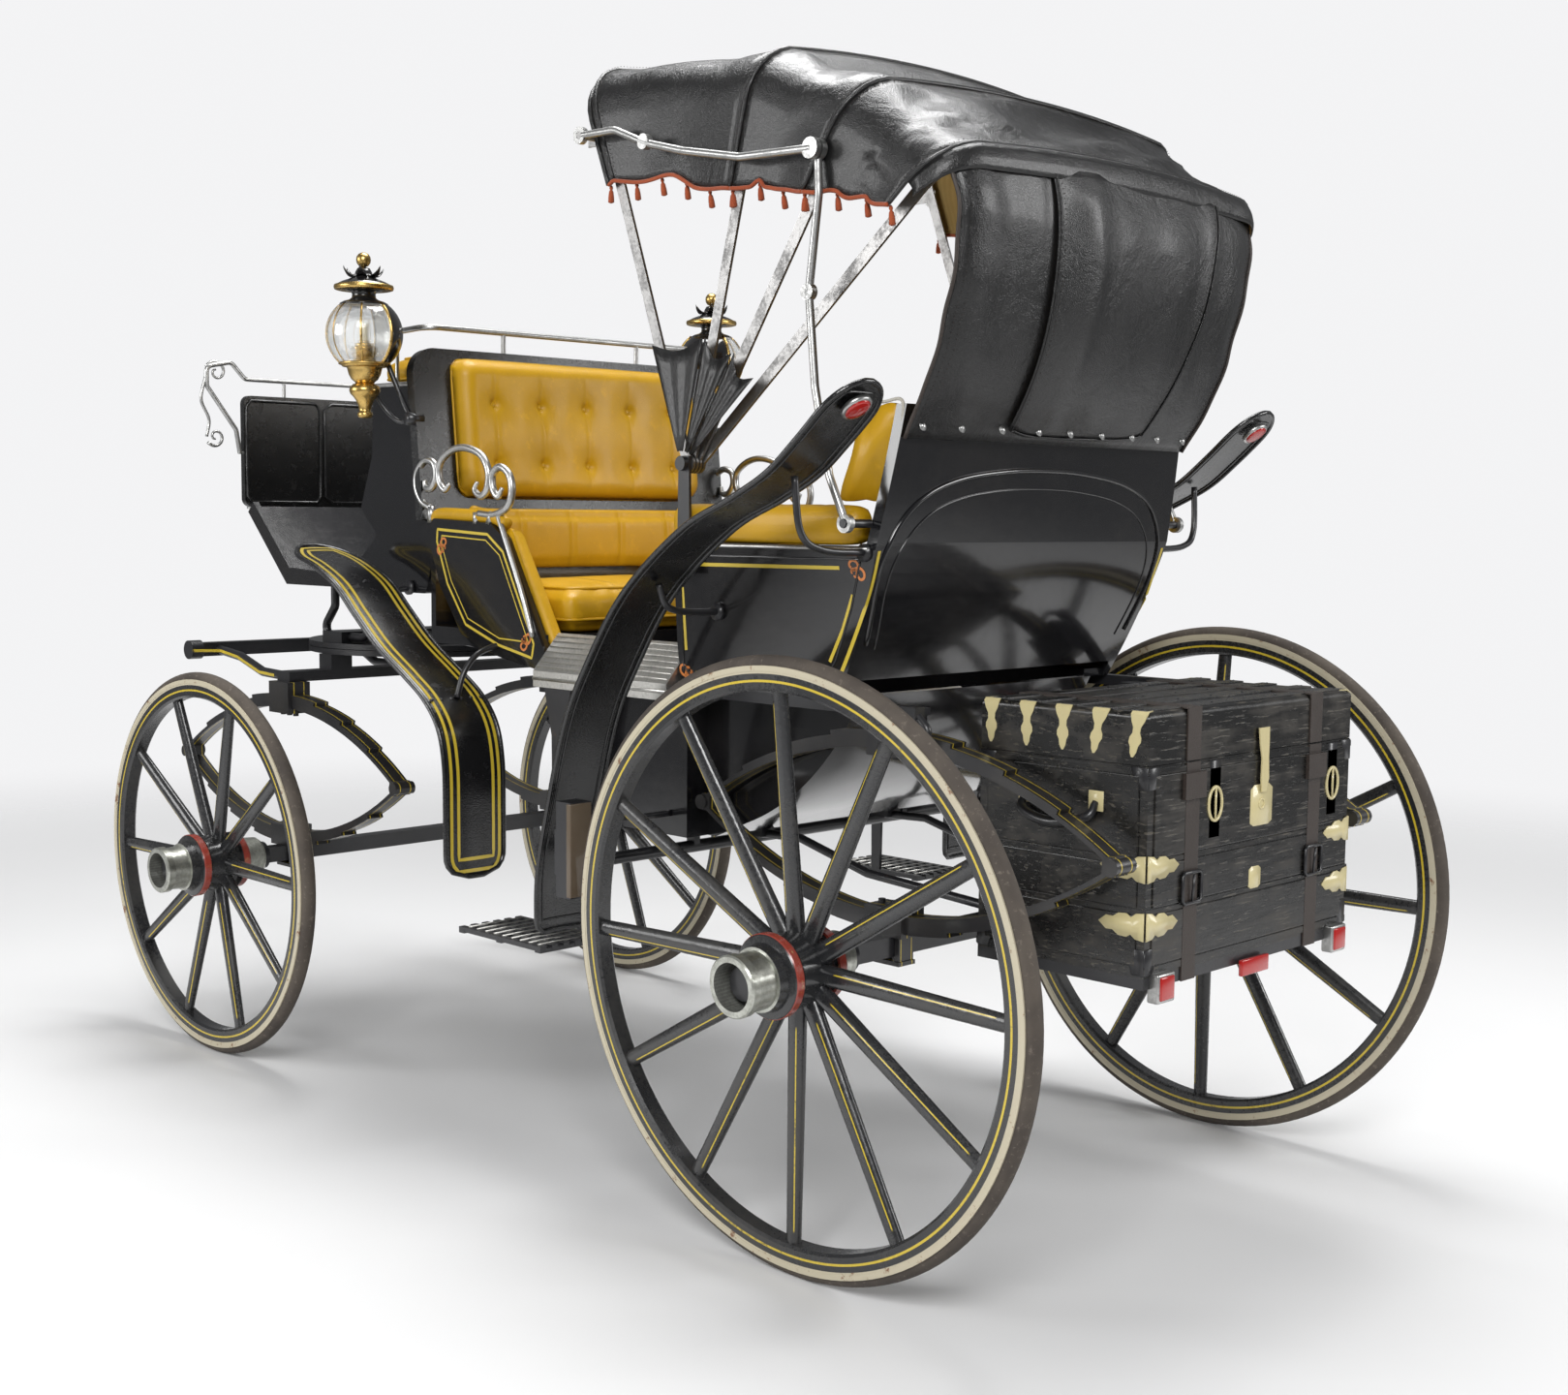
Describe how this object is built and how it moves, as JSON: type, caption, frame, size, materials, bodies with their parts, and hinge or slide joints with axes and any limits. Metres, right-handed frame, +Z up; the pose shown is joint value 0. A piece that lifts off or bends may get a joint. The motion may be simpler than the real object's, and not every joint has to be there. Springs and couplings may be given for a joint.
{
  "type": "horse drawn carriage",
  "caption": "Open horse drawn carriage with facing seats, driver's box, folding leather hood, leaf springs, turntable steering and a strapped trunk on a rear rack.",
  "frame": {"origin": "centre of the overall length and width, on the ground", "axes": "+X forwards to the horses, +Y to the left, +Z up"},
  "size_m": [3.1209, 1.6418, 2.2969],
  "materials": {
    "wheel_paint": "dark grey gloss paint over timber, with pinstripes",
    "tyre_rubber": "worn solid rubber",
    "black_iron": "black gloss paint",
    "body_paint": "black coach paint, polished",
    "tread_metal": "ribbed, worn",
    "yellow_leather": "smooth hide, satin, buttoned",
    "black_leather": "patent, creased",
    "hood_leather": "soft leather, satin",
    "silver_plate": "plated, slightly dull",
    "lamp_metal": "gilt and black enamel",
    "clear_glass": "clear, bevelled",
    "red_lens": "clear red lens",
    "trunk_leather": "coated, grained",
    "strap_leather": "harness leather"
  },
  "bodies": {
    "carriage": {"rear_axle": "black_iron", "rear_springs": "black_iron", "rear_body": "body_paint", "footwell": "body_paint", "sill_treads": "tread_metal", "front_body": "body_paint", "rear_seat_cushion": "yellow_leather", "front_seat_cushion": "yellow_leather", "rear_back_pad": "yellow_leather", "arm_pads": "yellow_leather", "front_lower_pad": "yellow_leather", "front_back_frame": "black_leather", "front_quilted_back": "yellow_leather", "driver_box": "body_paint", "driver_cushion": "yellow_leather", "footboard": "body_paint", "dashboard": "black_leather", "dash_rail": "silver_plate", "driver_rail": "silver_plate", "arm_scrolls": "silver_plate", "lamps": "lamp_metal", "lamp_glass": "clear_glass", "rear_fenders": "black_leather", "front_fenders": "black_leather", "reflectors": "red_lens", "steps": "black_iron", "body_irons": "black_iron", "turntable_upper": "black_iron", "brake_gear": "black_iron", "trunk_box": "trunk_leather", "trunk_straps": "strap_leather", "luggage_rack": "black_iron", "rear_curtain": "hood_leather", "hood_brackets": "black_iron"},
    "fore_carriage": {"front_axle": "black_iron", "front_springs": "black_iron", "turntable_lower": "black_iron", "spring_bar": "black_iron"},
    "wheel_rl": {"wheel_rear_left": "wheel_paint", "tyre_rear_left": "tyre_rubber"},
    "wheel_rr": {"wheel_rear_right": "wheel_paint", "tyre_rear_right": "tyre_rubber"},
    "wheel_fl": {"wheel_front_left": "wheel_paint", "tyre_front_left": "tyre_rubber"},
    "wheel_fr": {"wheel_front_right": "wheel_paint", "tyre_front_right": "tyre_rubber"},
    "hood_4": {"hood_bow_4": "silver_plate"},
    "hood_3": {"hood_bow_3": "silver_plate", "hood_leather_3": "hood_leather"},
    "hood_2": {"hood_bow_2": "silver_plate", "hood_leather_2": "hood_leather"},
    "hood_1": {"hood_bow_1": "silver_plate", "hood_leather_1": "hood_leather"},
    "landau_foot": {"landau_lower": "black_iron"},
    "landau_top": {"landau_upper": "black_iron"},
    "lid": {"trunk_lid": "trunk_leather", "lid_straps": "strap_leather"}
  },
  "joints": [
    {"name": "steering", "type": "hinge", "parent": "carriage", "child": "fore_carriage", "pos_m": [1.0435, 0, 1], "axis": [0, 0, 1], "range_deg": [-45, 45]},
    {"name": "wheel_rear_left_spin", "type": "hinge", "parent": "carriage", "child": "wheel_rl", "pos_m": [-1.0005, 0.6815, 0.55935], "axis": [0, 0.9988, -0.0488], "continuous": true},
    {"name": "wheel_rear_right_spin", "type": "hinge", "parent": "carriage", "child": "wheel_rr", "pos_m": [-1.0005, -0.6815, 0.55935], "axis": [0, 0.9988, 0.0488], "continuous": true},
    {"name": "wheel_front_left_spin", "type": "hinge", "parent": "fore_carriage", "child": "wheel_fl", "pos_m": [1.0435, 0.673, 0.47793], "axis": [0, 0.9998, -0.0175], "continuous": true},
    {"name": "wheel_front_right_spin", "type": "hinge", "parent": "fore_carriage", "child": "wheel_fr", "pos_m": [1.0435, -0.673, 0.47793], "axis": [0, 0.9998, 0.0175], "continuous": true},
    {"name": "hood_fold", "type": "hinge", "parent": "carriage", "child": "hood_4", "pos_m": [-0.5305, 0, 1.457], "axis": [0, -1, 0], "range_deg": [0, 23], "deforming": ["rear_curtain"]},
    {"name": "hood_fold_3", "type": "hinge", "parent": "hood_4", "child": "hood_3", "pos_m": [-0.5305, 0, 1.457], "axis": [0, -1, 0], "range_deg": [0, 13.5], "deforming": ["hood_leather_3"]},
    {"name": "hood_fold_2", "type": "hinge", "parent": "hood_3", "child": "hood_2", "pos_m": [-0.5305, 0, 1.457], "axis": [0, -1, 0], "range_deg": [0, 16], "deforming": ["hood_leather_2"]},
    {"name": "hood_fold_1", "type": "hinge", "parent": "hood_2", "child": "hood_1", "pos_m": [-0.5305, 0, 1.457], "axis": [0, -1, 0], "range_deg": [0, 30.5], "deforming": ["hood_leather_1"]},
    {"name": "landau_foot_turn", "type": "hinge", "parent": "carriage", "child": "landau_foot", "pos_m": [-0.9805, 0, 1.345], "axis": [0, -1, 0], "range_deg": [0, 92.8]},
    {"name": "landau_top_turn", "type": "hinge", "parent": "hood_1", "child": "landau_top", "pos_m": [-0.2555, 0, 2.112], "axis": [0, -1, 0], "range_deg": [-52.2, 0]},
    {"name": "trunk_lid_hinge", "type": "hinge", "parent": "carriage", "child": "lid", "pos_m": [-1.1505, 0, 0.9425], "axis": [0, 1, 0], "range_deg": [0, 75]}
  ],
  "couplings": [
    {"joint": "hood_fold_3", "follows": "hood_fold", "ratio": 0.58696},
    {"joint": "hood_fold_2", "follows": "hood_fold", "ratio": 0.69565},
    {"joint": "hood_fold_1", "follows": "hood_fold", "ratio": 1.3261},
    {"joint": "landau_foot_turn", "follows": "hood_fold", "ratio": 4.0348},
    {"joint": "landau_top_turn", "follows": "hood_fold", "ratio": -2.2696}
  ]
}
